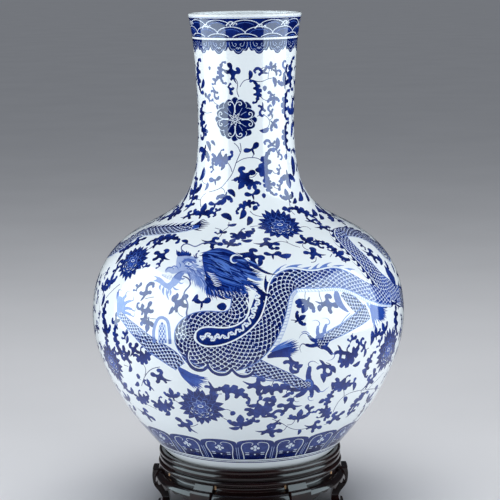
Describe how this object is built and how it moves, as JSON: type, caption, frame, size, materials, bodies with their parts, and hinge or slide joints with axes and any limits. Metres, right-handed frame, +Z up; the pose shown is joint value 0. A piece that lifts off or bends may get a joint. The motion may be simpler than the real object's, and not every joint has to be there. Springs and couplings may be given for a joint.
{
  "type": "porcelain vase",
  "caption": "Tall globular blue-and-white porcelain vase with a straight neck, resting on a low round dark-wood display stand with short curved legs.",
  "frame": {"origin": "on the floor, at the centre of the stand", "axes": "+Z up along the vase's axis, -Y towards the front of the vase, +X to its right"},
  "size_m": [0.39, 0.39, 0.625],
  "materials": {
    "porcelain": "high-gloss clear glaze over underglaze cobalt blue painting",
    "rosewood": "dark red-brown stain under gloss lacquer",
    "dowel_wood": "raw hardwood",
    "brass_screws": "turned",
    "felt": "pressed wool felt"
  },
  "bodies": {
    "stand": {"seat_ring_segment_1": "rosewood", "seat_ring_segment_2": "rosewood", "seat_ring_segment_3": "rosewood", "seat_ring_segment_4": "rosewood", "seat_panel": "rosewood", "waist_ring": "rosewood", "leg_1": "rosewood", "leg_2": "rosewood", "leg_3": "rosewood", "leg_4": "rosewood", "leg_5": "rosewood", "leg_6": "rosewood", "apron_1": "rosewood", "apron_2": "rosewood", "apron_3": "rosewood", "apron_4": "rosewood", "apron_5": "rosewood", "apron_6": "rosewood", "seat_ring_dowels": "dowel_wood", "leg_screws": "brass_screws", "panel_screws": "brass_screws", "felt_foot_pads": "felt"},
    "seat_felt": {"seat_felt_ring": "felt"},
    "vase": {"vase_body": "porcelain"}
  },
  "joints": [
    {"name": "vase_turn", "type": "hinge", "parent": "stand", "child": "seat_felt", "pos_m": [0, 0, 0.062], "axis": [0, 0, 1], "continuous": true},
    {"name": "vase_lift", "type": "slide", "parent": "seat_felt", "child": "vase", "axis": [0, 0, 1], "range_m": [0, 0.15]}
  ]
}
